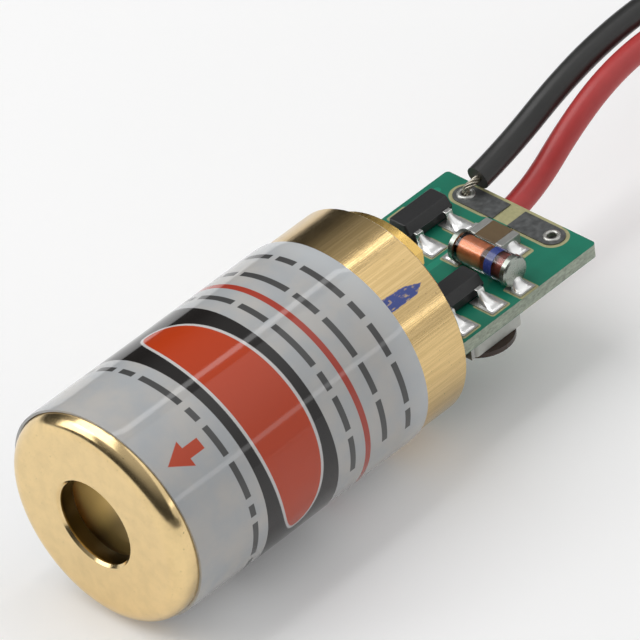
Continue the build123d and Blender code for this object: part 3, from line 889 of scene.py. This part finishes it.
@dataclass(frozen=True)
class RoundedPart:
    """A small part whose solid gets rounded corners: its CAD node, finish, slot and rounding."""

    node: str
    finish: Finishes
    slot: str
    width: float
    segments: int = 3
    bevelled_from: float = 25.0
    crease: float = 60.0
    digits: int = 8

    def build(self) -> Piece:
        """Copy the solid with its doubled points joined, and round its corners with a bevel.

        Returns:
            The copy, which stands for the node.
        """
        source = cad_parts[self.node].data
        corners = np.empty(len(source.vertices) * 3)
        source.vertices.foreach_get("co", corners)
        kept, index = np.unique(np.round(corners.reshape(-1, 3), self.digits), axis=0, return_inverse=True)
        triangles = np.empty(len(source.loops), int)
        source.loops.foreach_get("vertex_index", triangles)
        mesh = bpy.data.meshes.new(f"{self.node}_rounded")
        mesh.from_pydata(kept, [], index.ravel()[triangles].reshape(-1, 3).tolist())
        smooth(mesh, self.crease)
        piece = placed(mesh.name, mesh)
        bevel = piece.modifiers.new("rounding", "BEVEL")
        bevel.width = self.width * MM
        bevel.segments = self.segments
        bevel.limit_method = "ANGLE"
        bevel.angle_limit = radians(self.bevelled_from)
        bevel.harden_normals = False
        return fit(piece, self.finish, self.slot, self.node)


@dataclass
class WrappedFilm:
    """The film wrapped round the housing, a little out of square, with its free end on top of its start."""

    inner: float = 5.252
    outer: float = 5.41
    front: float = 0.88
    length: float = 14.29
    skew_x: float = 0.033
    skew_z: float = -0.039
    seam: float = 205.0
    under: float = 0.06
    ramp: float = 14.0
    edge: float = 0.03
    ripple: float = 0.006
    waves: tuple[tuple[float, ...], ...] = ((2.0, 0.31, 0.0), (3.0, -0.53, 1.0))
    wander: tuple[float, ...] = (7.0, 0.9, 0.4)
    around: float = 359.6
    around_steps: int = 360
    along_steps: int = 60
    crease: float = 40.0

    def points(self) -> tuple[np.ndarray, np.ndarray]:
        """The film as loops: each loop goes along its outside and back along its inside, at one turn angle.

        The outside is at the outer radius, less a step where the film starts under its own end, less a
        slow ripple: the sum of sine waves round the barrel that lean along it, and of one that wanders.

        Returns:
            The points, and each point's turn in degrees and place along the film in millimetres.
        """
        turns = self.seam - 360.0 + np.linspace(0.0, self.around, self.around_steps)
        run = np.linspace(0.0, self.length, self.along_steps)
        turn_grid, along = np.meshgrid(turns, np.concatenate([run, run[::-1]]), indexing="ij")
        is_outside = np.repeat([True, False], self.along_steps)[None, :]
        ease = np.clip((turn_grid - turns[0]) / self.ramp, 0.0, 1.0)
        step = self.under * (1.0 - ease * ease * (3.0 - 2.0 * ease))
        swing = np.radians(turn_grid)
        rounds, swerve, lean = self.wander
        ripple = np.sin(rounds * swing + swerve * np.sin(lean * along))
        for rounds, lean, phase in self.waves:
            ripple += np.sin(rounds * swing + lean * along + phase)
        highest = 1 + len(self.waves)
        near_end = np.minimum(along, self.length - along)
        rounding = self.edge * np.clip(1.0 - near_end / self.edge, 0.0, 1.0) ** 2
        outside = self.outer - step - self.ripple * (highest + ripple) - rounding
        radius = np.where(is_outside, outside, self.inner)
        x, z = radius * np.sin(swing), radius * np.cos(swing)
        places = stacked(turn_grid, self.front + along, 0.0)
        return stacked(x, self.front + along + self.skew_x * x + self.skew_z * z, z), places

    def build(self) -> Piece:
        """Make the film and let it carry its own places for the print.

        Returns:
            The film.
        """
        points, places = self.points()
        piece = loops_piece("wrapped_film", [points], self.crease)
        carried = piece.data.attributes.new("film_place", "FLOAT_VECTOR", "POINT")
        carried.data.foreach_set("vector", places.astype(np.float32).ravel())
        return fit(piece, Finishes.FILM, "label_film", "label")


@dataclass
class SolderFillet:
    """A concave wedge of solder that runs along X from a terminal to the toe of its pad."""

    x: float
    y: float
    side: int
    toe: float
    width: float
    height: float
    overlap: float = 0.05
    toe_width: float = 0.85
    toe_height: float = 0.05
    widening: float = 0.75
    falling: float = 2.4
    tip_start: float = 0.8
    tip_room: Pair = (0.08, 0.0405)
    arch: Pair = (2.4, 0.7)
    rows: int = 20
    columns: int = 16

    def loops(self, seat: float, rise: int) -> np.ndarray:
        """The fillet as loops across X, each a low arch over its flat base.

        Its height falls from the terminal with a power of the run, its width grows to the toe's with
        another, both close round its tip as an ellipse does, and each arch falls to the base at both
        sides as a superellipse.

        Args:
            seat: the height of the pad's face, in millimetres.
            rise: 1 above the board and -1 below it.

        Returns:
            Rows of closed loops, in millimetres.
        """
        share = np.linspace(0.0, 1.0, self.rows)[:, None]
        across = np.linspace(-1.0, 1.0, self.columns)
        swing = np.concatenate([across, across[::-1]])[None, :]
        is_arch = np.repeat([1.0, 0.0], self.columns)[None, :]
        past = np.clip(share - self.tip_start, 0.0, 1.0) ** 2
        slim, low = (np.sqrt(np.clip(1.0 - past / room, 0.0, 1.0)) for room in self.tip_room)
        half = 0.5 * (self.width + (self.toe_width - self.width) * share**self.widening) * slim
        height = (self.toe_height + (self.height - self.toe_height) * (1.0 - share) ** self.falling) * low
        flank, root = self.arch
        dome = np.clip(1.0 - np.abs(swing) ** flank, 0.0, 1.0) ** root
        x = self.x + self.side * (share * (self.toe + self.overlap) - self.overlap)
        return stacked(x, self.y + half * swing * self.side * rise, seat + rise * height * dome * is_arch)


@dataclass
class DriverBoard:
    """The driver board's added pieces: solder at its terminals and in its wire holes, and rounded parts.

    A solder entry holds how far from its part's middle a fillet starts, its reach, width and height. A
    wing has its side, its place along Y and its fillet's reach.
    """

    seat: float = -0.02
    seat_below: float = -0.82
    transistors: tuple[Pair, ...] = ((-2.68, 23.7), (2.25, 20.4))
    transistor_half: float = 0.65
    transistor_length: float = 2.9
    transistor_levels: tuple[Four, ...] = (
        (0.05, 0.10, 0.10, 0.09), (0.09, 0.06, 0.06, 0.06), (0.50, 0.0, 0.0, 0.0), (0.55, 0.0, 0.0, 0.0),
        (0.56, 0.01, 0.03, 0.02), (0.95, 0.06, 0.24, 0.06), (0.98, 0.07, 0.26, 0.07), (1.0, 0.10, 0.29, 0.10),
    )
    transistor_corner: float = 0.1
    transistor_columns: int = 80
    transistor_crease: float = 20.0
    wings: tuple[tuple[int, float, float], ...] = ((1, -0.95, 0.98), (1, 0.95, 0.98), (-1, 0.0, 0.48))
    wing_start: float = 0.92
    wing_solder: Pair = (0.5, 0.5)
    glass_diode: Pair = (2.0, 23.0)
    diode_solder: Four = (1.75, 0.55, 0.75, 0.55)
    glass_radius: float = 0.7
    cap_radius: float = 0.75
    glass_half: float = 1.43
    glass_draw: float = 0.06
    slug_radius: float = 0.49
    slug_places: tuple[Pair, ...] = ((-1.36, 0.04), (0.32, 1.36))
    slug_edge: float = 0.04
    diode_columns: int = 64
    diode_crease: float = 30.0
    band: Pair = (0.42, 0.86)
    band_thickness: float = 0.01
    capacitor: Pair = (0.8, 24.77)
    capacitor_solder: Four = (1.0, 0.55, 0.9, 0.5)
    resistors: tuple[Pair, ...] = ((-2.4, 20.6), (-2.4, 22.9))
    resistor_solder: Four = (1.0, 0.35, 0.7, 0.5)
    hole: Pair = (2.6, 26.55)
    rims: tuple[tuple[int, float, float, float], ...] = ((1, 0.22, 0.2, 0.07), (-1, 0.2, 0.24, 0.1))
    rim_power: float = 1.3
    rim_sink: float = 0.03
    rim_rows: int = 48
    rim_columns: int = 12
    plug: tuple[Pair, ...] = ((-0.6, 0.295), (-0.26, 0.295), (-0.34, 0.2), (-0.38, 0.04))
    plug_columns: int = 32
    rounded: tuple[RoundedPart, ...] = (
        RoundedPart("left_transistor_leads", Finishes.TIN, "tinned_lead", 0.03),
        RoundedPart("right_transistor_leads", Finishes.TIN, "tinned_lead", 0.03),
        RoundedPart("capacitor", Finishes.BROWN_CERAMIC, "brown_ceramic", 0.05),
        RoundedPart("capacitor_ends", Finishes.CHIP_END, "tinned_lead", 0.06),
        RoundedPart("trimmer_base", Finishes.GREY_CERAMIC, "grey_ceramic", 0.06),
    )

    def end_fillets(self, middle: Pair, solder: tuple[float, ...]) -> list[SolderFillet]:
        """The fillets at both ends of a part that lies along X.

        Args:
            middle: the part's middle.
            solder: where the fillets start from it, and their reach, width and height.

        Returns:
            The two fillets.
        """
        (x, y), (start, *sizes) = middle, solder
        return [SolderFillet(x + side * start, y, side, *sizes) for side in (-1, 1)]

    def top_fillets(self) -> list[SolderFillet]:
        """The fillets above the board: three at each transistor, two at the glass diode and the capacitor.

        Returns:
            The fillets.
        """
        fillets = [
            SolderFillet(x + side * self.wing_start, y + shift, side, reach, *self.wing_solder)
            for x, y in self.transistors
            for side, shift, reach in self.wings
        ]
        fillets += self.end_fillets(self.glass_diode, self.diode_solder)
        return fillets + self.end_fillets(self.capacitor, self.capacitor_solder)

    def bottom_fillets(self) -> list[SolderFillet]:
        """The fillets below the board, one at each end of the two resistors."""
        return [fillet for part in self.resistors for fillet in self.end_fillets(part, self.resistor_solder)]

    def hole_rim(self, side: int, inner: float, reach: float, height: float) -> np.ndarray:
        """Solder round a wire hole: a profile that climbs from the pad and turns into the hole.

        Its radius follows a cosine and its height a power of the sine, it returns below the pad's face,
        and it is carried round the hole's middle.

        Args:
            side: 1 for the hole at +X and -1 for the other.
            inner: the radius where the solder ends in the hole.
            reach: how far it spreads from there.
            height: its highest point over the pad.

        Returns:
            Rows of closed loops, in millimetres.
        """
        swing = full_turn(self.rim_rows).T
        share = np.linspace(0.0, np.pi, self.rim_columns)
        over = inner + 0.5 * reach * (1.0 + np.cos(share))
        climb = self.seat + height * np.sin(share) ** self.rim_power
        radius = np.concatenate([over, over[::-1]])
        lift = np.concatenate([climb, np.full_like(climb, self.seat - self.rim_sink)])
        x, y = self.hole
        return stacked(side * x + radius * np.sin(swing), y + radius * np.cos(swing), lift)

    def hole_plug(self) -> np.ndarray:
        """What fills the empty wire hole: a dished profile carried round the hole's middle.

        Returns:
            Rows of closed loops, in millimetres.
        """
        swing = -full_turn(self.plug_columns)
        lift, radius = upright(self.plug)
        x, y = self.hole
        return stacked(x + radius * np.sin(swing), y + radius * np.cos(swing), lift)

    def moulding(self, x: float, y: float) -> np.ndarray:
        """A transistor's body: loops with round corners, widest at the parting line.

        Each level is drawn in at its back, its front and its ends by its own amounts. Each loop is a circle
        of the corner's radius whose points are pushed out to the four corners.

        Args:
            x, y: the body's middle.

        Returns:
            Rows of closed loops, in millimetres.
        """
        quarter, eighth = tau / 4, tau / 8
        swing = full_turn(self.transistor_columns) + eighth
        lift, in_back, in_front, in_ends = upright(self.transistor_levels)
        corner = self.transistor_corner
        push_x = self.transistor_half - (in_back + in_front) / 2 - corner
        push_y = self.transistor_length / 2 - in_ends - corner
        facing = np.floor(swing / quarter) * quarter + eighth
        loop_x = x + (in_back - in_front) / 2 - np.sign(np.cos(facing)) * push_x - corner * np.cos(swing)
        loop_y = y + np.sign(np.sin(facing)) * push_y + corner * np.sin(swing)
        return stacked(loop_x, loop_y, self.seat + lift)[:, ::-1]

    def diode_turning(self, profile: list[Pair]) -> np.ndarray:
        """A profile carried round the glass diode's axis.

        Args:
            profile: places along X from the diode's middle, and radii.

        Returns:
            Rows of closed loops, one for each point of the profile, in millimetres.
        """
        swing = full_turn(self.diode_columns)
        along, radius = upright(profile)
        x, y = self.glass_diode
        axis_height = self.seat + self.cap_radius
        return stacked(x + along, y - radius * np.sin(swing), axis_height + radius * np.cos(swing))

    def drawn_in(self, name: str, start: float, stop: float, radius: float, edge: float) -> Piece:
        """A round bar on the glass diode's axis with its two ends drawn in.

        Args:
            name: the piece's name.
            start, stop: its ends along X from the diode's middle.
            radius: its radius.
            edge: how far its ends are drawn in, along and across.

        Returns:
            The piece.
        """
        ends = [(start, radius - edge), (start + edge, radius), (stop - edge, radius), (stop, radius - edge)]
        return loops_piece(name, [self.diode_turning(ends)], self.diode_crease)

    def build_glass_diode(self) -> None:
        """Make the diode's glass, its two slugs inside and its painted band."""
        half, glass, edge = self.glass_half, self.glass_radius, self.slug_edge
        body = self.drawn_in("diode_body", -half, half, glass, self.glass_draw)
        fit(body, Finishes.DIODE_GLASS, "diode_glass", "glass_diode_tube")
        left, right = self.slug_places
        left_slug = self.drawn_in("left_slug", *left, self.slug_radius, edge)
        fit(left_slug, Finishes.SLUG, "copper", "glass_diode_slugs")
        # the right slug takes the darker copy of the copper: painted shade
        fit(self.drawn_in("right_slug", *right, self.slug_radius, edge), Finishes.SHADED_SLUG, "copper")
        low, high = glass - self.band_thickness, glass + self.band_thickness
        start, stop = self.band
        section = [(start, low), (start, high), (stop, high), (stop, low)]
        band = self.diode_turning(section).transpose(1, 0, 2)
        fit(loops_piece("diode_band", [band], ring=True), Finishes.BAND, "diode_glass")

    def build(self) -> None:
        """Make the solder and the rounded parts."""
        above = [fillet.loops(self.seat, 1) for fillet in self.top_fillets()]
        fit(loops_piece("top_fillets", above), Finishes.SOLDER, "solder", "top_solder")
        below = [fillet.loops(self.seat_below, -1) for fillet in self.bottom_fillets()]
        fit(loops_piece("bottom_fillets", below), Finishes.SOLDER, "solder", "bottom_solder")
        rims = [self.hole_rim(*rim) for rim in self.rims]
        fit(loops_piece("hole_solder", rims, ring=True), Finishes.HOLE_SOLDER, "solder")
        # the hole's filling is near black: painted shade in the hole
        fit(loops_piece("hole_filling", [self.hole_plug()]), Finishes.HOLE_SHADE, "solder")
        self.build_glass_diode()
        for node, (x, y) in zip(("left_transistor", "right_transistor"), self.transistors):
            body = loops_piece(f"{node}_body", [self.moulding(x, y)], self.transistor_crease)
            fit(body, Finishes.MOULDING, "black_moulding", node)
        for part in self.rounded:
            part.build()


@dataclass
class Strands:
    """A stripped end: fine tinned strands twisted round each other along a route."""

    name: str
    node: str
    routes: tuple[tuple[Point, ...], ...]
    radius: float = 0.18
    outer_strands: int = 6
    lay: float = 1.6
    samples: int = 40
    sides: int = 8
    strands_across: float = 3.0
    first_side: Point = (1.0, 0.02, 0.03)

    def centreline(self, route: tuple[Point, ...]) -> np.ndarray:
        """A smooth line through a route: a quadratic spline that has the route's points as its controls.

        Args:
            route: the points, in millimetres.

        Returns:
            Points along the line.
        """
        controls = np.array(route)
        middles = 0.5 * (controls[1:] + controls[:-1])
        starts = np.concatenate([controls[:1], middles[1:-1]])
        stops = np.concatenate([middles[1:-1], controls[-1:]])
        share = np.linspace(0.0, 1.0, self.samples)[None, :, None]
        first, turn, last = (part[:, None, :] for part in (starts, controls[1:-1], stops))
        line = (1 - share) ** 2 * first + 2 * share * (1 - share) * turn + share**2 * last
        return np.concatenate([line[0, :1], line[:, 1:].reshape(-1, 3)])

    def tubes(self, route: tuple[Point, ...]) -> list[np.ndarray]:
        """The strands along one route: one in the middle and the others wound round it.

        Args:
            route: the points, in millimetres.

        Returns:
            For each strand, rows of closed loops, in millimetres.
        """
        line = self.centreline(route)
        heading = np.gradient(line, axis=0)
        run = np.concatenate([[0.0], np.cumsum(np.linalg.norm(np.diff(line, axis=0), axis=1))])
        heading /= np.linalg.norm(heading, axis=1, keepdims=True)
        side = np.cross(heading, self.first_side)
        side /= np.linalg.norm(side, axis=1, keepdims=True)
        rise = np.cross(heading, side)
        thin = self.radius / self.strands_across
        swing = full_turn(self.sides)[:, :, None]
        section = thin * (np.cos(swing) * side[:, None, :] + np.sin(swing) * rise[:, None, :])
        stacks = [line[:, None, :] + section]
        for start in full_turn(self.outer_strands)[0]:
            wound = start + tau * run[:, None] / self.lay
            offset = 2.0 * thin * (np.cos(wound) * side + np.sin(wound) * rise)
            stacks.append((line + offset)[:, None, :] + section)
        return stacks

    def build(self) -> Piece:
        """Make the strands of every route as one piece."""
        stacks = [stack for route in self.routes for stack in self.tubes(route)]
        return fit(loops_piece(self.name, stacks), Finishes.STRAND, "tinned_wire", self.node)


BLACK_STRANDS = Strands("black_strands", "black_conductor", (
    ((-2.35, 27.15, 0.60), (-2.35, 26.95, 0.56), (-2.40, 26.72, 0.50), (-2.58, 26.55, 0.30),
     (-2.6, 26.55, -0.1), (-2.6, 26.55, -0.72)),
))
RED_STRANDS = Strands("red_strands", "red_conductor", (
    ((-1.0, 27.57, -0.98), (-1.0, 27.4, -1.0), (-1.0, 26.6, -1.0), (-1.0, 25.75, -1.0)),
))


@dataclass
class Lead:
    """One insulated supply wire: its route from the board to its coil, then its turns inwards."""

    name: str
    finish: Finishes
    slot: str
    nodes: tuple[str, ...]
    route: tuple[Point, ...]
    first_radius: float
    turns: float
    radius: float = 0.6
    pitch: float = 2.6
    centre: Point = (2.6, 60.37, -4.56)
    length: float = 81.5
    points_a_turn: int = 24
    section_steps: int = 8
    steps_a_point: int = 12
    order: int = 3

    def spiral(self) -> np.ndarray:
        """The coil's turns: clockwise from above, with a radius that shrinks by the pitch each turn.

        Returns:
            Points along the turns, in millimetres.
        """
        count = int(self.turns * self.points_a_turn) + 1
        turned = np.linspace(0.0, self.turns, count)
        swing = tau * turned
        radius = self.first_radius - self.pitch * turned
        x = self.centre[0] - radius * np.cos(swing)
        y = self.centre[1] + radius * np.sin(swing)
        return np.stack([x, y, np.full_like(x, self.centre[2])], axis=-1)

    def build(self, with_pieces: list[str]) -> Piece:
        """Lay the wire as one smooth spline with its route and turns as control points.

        Args:
            with_pieces: not used.

        Returns:
            The wire.
        """
        points = np.concatenate([np.array(self.route), self.spiral()]) * MM
        curve = bpy.data.curves.new(self.name, "CURVE")
        curve.dimensions = "3D"
        curve.bevel_depth = self.radius * MM
        curve.bevel_resolution = self.section_steps
        curve.resolution_u = self.steps_a_point
        curve.use_fill_caps = True
        spline = curve.splines.new("NURBS")
        spline.points.add(len(points) - 1)
        weighted = np.concatenate([points, np.ones((len(points), 1))], axis=1)
        spline.points.foreach_set("co", weighted.ravel())
        spline.order_u = self.order
        spline.use_endpoint_u = True
        spline.use_smooth = True
        wire = fit(placed(self.name, curve), self.finish, self.slot, *self.nodes)
        return wire


BLACK_LEAD = Lead(
    "black_wire", Finishes.BLACK_SLEEVE, "black_insulation", ("black_lead", "lead_coil"),
    (
        (-2.35, 27.15, 0.60), (-2.37, 29.2, 1.0), (-2.4, 32.9, 2.35), (-2.4, 36.0, 3.0),
        (-2.45, 39.4, 3.1), (-2.9, 42.57, 2.0), (-3.8, 45.37, -0.4), (-4.8, 47.97, -2.9),
        (-5.45, 50.37, -4.2), (-5.6, 52.67, -4.56), (-5.6, 53.97, -4.56),
    ),
    first_radius=8.2, turns=1.06,
)
RED_LEAD = Lead(
    "red_wire", Finishes.RED_SLEEVE, "red_insulation", ("red_lead",),
    (
        (-1.0, 27.57, -0.98), (-1.0, 29.1, -0.72), (-1.0, 31.9, 1.15), (-1.05, 34.6, 2.25),
        (-1.15, 37.6, 2.5), (-1.5, 40.77, 1.75), (-2.2, 43.77, -0.5), (-3.2, 46.57, -2.9),
        (-4.0, 49.27, -4.2), (-4.3, 51.97, -4.56), (-4.3, 53.97, -4.56),
    ),
    first_radius=6.9, turns=1.41,
)


@dataclass
class Lamp:
    """A soft box: where it hangs, its width and length, its power, its width's line and what it points at."""

    name: str
    place: Point
    size: Pair
    power: float
    across: Point = (1.0, 0.0, 0.0)
    aim: Point = (0.0, 0.012, 0.0)

    def build(self) -> None:
        """Hang the lamp, in metres and watts."""
        data = bpy.data.lights.new(self.name, "AREA")
        data.shape = "RECTANGLE"
        data.size, data.size_y = self.size
        data.energy = self.power
        back = (Vector(self.place) - Vector(self.aim)).normalized()
        length_line = back.cross(Vector(self.across)).normalized()
        axes = Matrix((length_line.cross(back), length_line, back)).transposed().to_4x4()
        placed(self.name, data).matrix_world = Matrix.Translation(self.place) @ axes


@dataclass
class Studio:
    """The floor, the lamps, the surrounding light and the camera."""

    floor_height: float = -5.41
    floor_half: float = 900.0
    azimuth: float = 48.027
    elevation: float = 38.118
    roll: float = -7.583
    distance: float = 359.2
    target: Point = (0.0, 12.0, 0.0)
    shift: Pair = (1.522, 2.678)
    pixels_per_mm: float = 22.928
    frame_pixels: float = 640.0
    sensor: float = 36.0
    horizon: float = 0.05
    zenith: float = 0.50
    sky: Pair = (0.25, 1.0)
    lamps: list[Lamp] = field(default_factory=lambda: [
        Lamp("rear_panel", (0.287, 0.237, 0.277), (0.76, 0.44), 0.65, (0.87, 0.0, -0.49)),
        Lamp("left_strip", (-0.07, 0.24, 0.375), (0.035, 0.44), 0.13, (0.98, 0.0, 0.2)),
        Lamp("right_strip", (0.365, 0.25, 0.13), (0.03, 0.44), 0.06, (0.35, 0.0, -0.94)),
        Lamp("left_box", (-0.31, -0.25, 0.21), (0.26, 0.26), 0.50),
        Lamp("overhead_box", (-0.22, -0.10, 0.42), (0.40, 0.40), 1.05),
    ])

    def build_floor(self) -> None:
        """A wide pale floor that the module lies on."""
        half, height = self.floor_half * MM, self.floor_height * MM
        mesh = bpy.data.meshes.new("floor")
        corners = [(-half, -half, height), (half, -half, height), (half, half, height), (-half, half, height)]
        mesh.from_pydata(corners, [], [(0, 1, 2, 3)])
        mesh.materials.append(Finishes.FLOOR.value.material())
        placed("floor", mesh)

    def build_surround(self) -> None:
        """Soft light from all round, which grows from the horizon to the zenith."""
        world = bpy.data.worlds.new("surround")
        world.use_nodes = True
        shader = Shader(world.node_tree)
        heading = shader.node("ShaderNodeTexCoord", {}, {}, "Generated")
        _, _, up = shader.split(heading)
        level = up.rise(*self.sky) * (self.zenith - self.horizon) + self.horizon
        light = shader.node("ShaderNodeBackground", {}, {"Color": (1.0, 1.0, 1.0, 1.0), "Strength": level})
        shader.finish("ShaderNodeOutputWorld", light)
        bpy.context.scene.world = world

    def build_camera(self) -> None:
        """The camera at the photograph's angle: turned about Z, tipped down and rolled about its own line."""
        turn, tip, roll = radians(self.azimuth), radians(self.elevation), radians(self.roll)
        back = Vector((sin(turn) * cos(tip), -cos(turn) * cos(tip), sin(tip)))
        level = Vector((cos(turn), sin(turn), 0.0))
        upright = back.cross(level)
        right = level * cos(roll) + upright * sin(roll)
        up = upright * cos(roll) - level * sin(roll)
        place = Vector(self.target) + back * self.distance + right * self.shift[0] + up * self.shift[1]
        data = bpy.data.cameras.new("camera")
        data.sensor_width = self.sensor
        data.lens = self.sensor * self.pixels_per_mm * self.distance / self.frame_pixels
        axes = Matrix((right, up, back)).transposed().to_4x4()
        camera = placed("camera", data)
        camera.matrix_world = Matrix.Translation(place * MM) @ axes
        bpy.context.scene.camera = camera

    def build(self) -> None:
        """Set up everything round the module."""
        self.build_floor()
        self.build_surround()
        self.build_camera()
        for lamp in self.lamps:
            lamp.build()
        bpy.context.scene.view_settings.view_transform = "Standard"


def main() -> None:
    """Build the module's looks in order."""
    logging.basicConfig(level=logging.INFO, format="%(message)s")
    Studio().build()
    dress_nodes()
    BLACK_LEAD.build(["coil_tie", "lead_tips"])
    RED_LEAD.build([])
    WrappedFilm().build()
    DriverBoard().build()
    BLACK_STRANDS.build()
    RED_STRANDS.build()


if __name__ == "__main__":
    main()
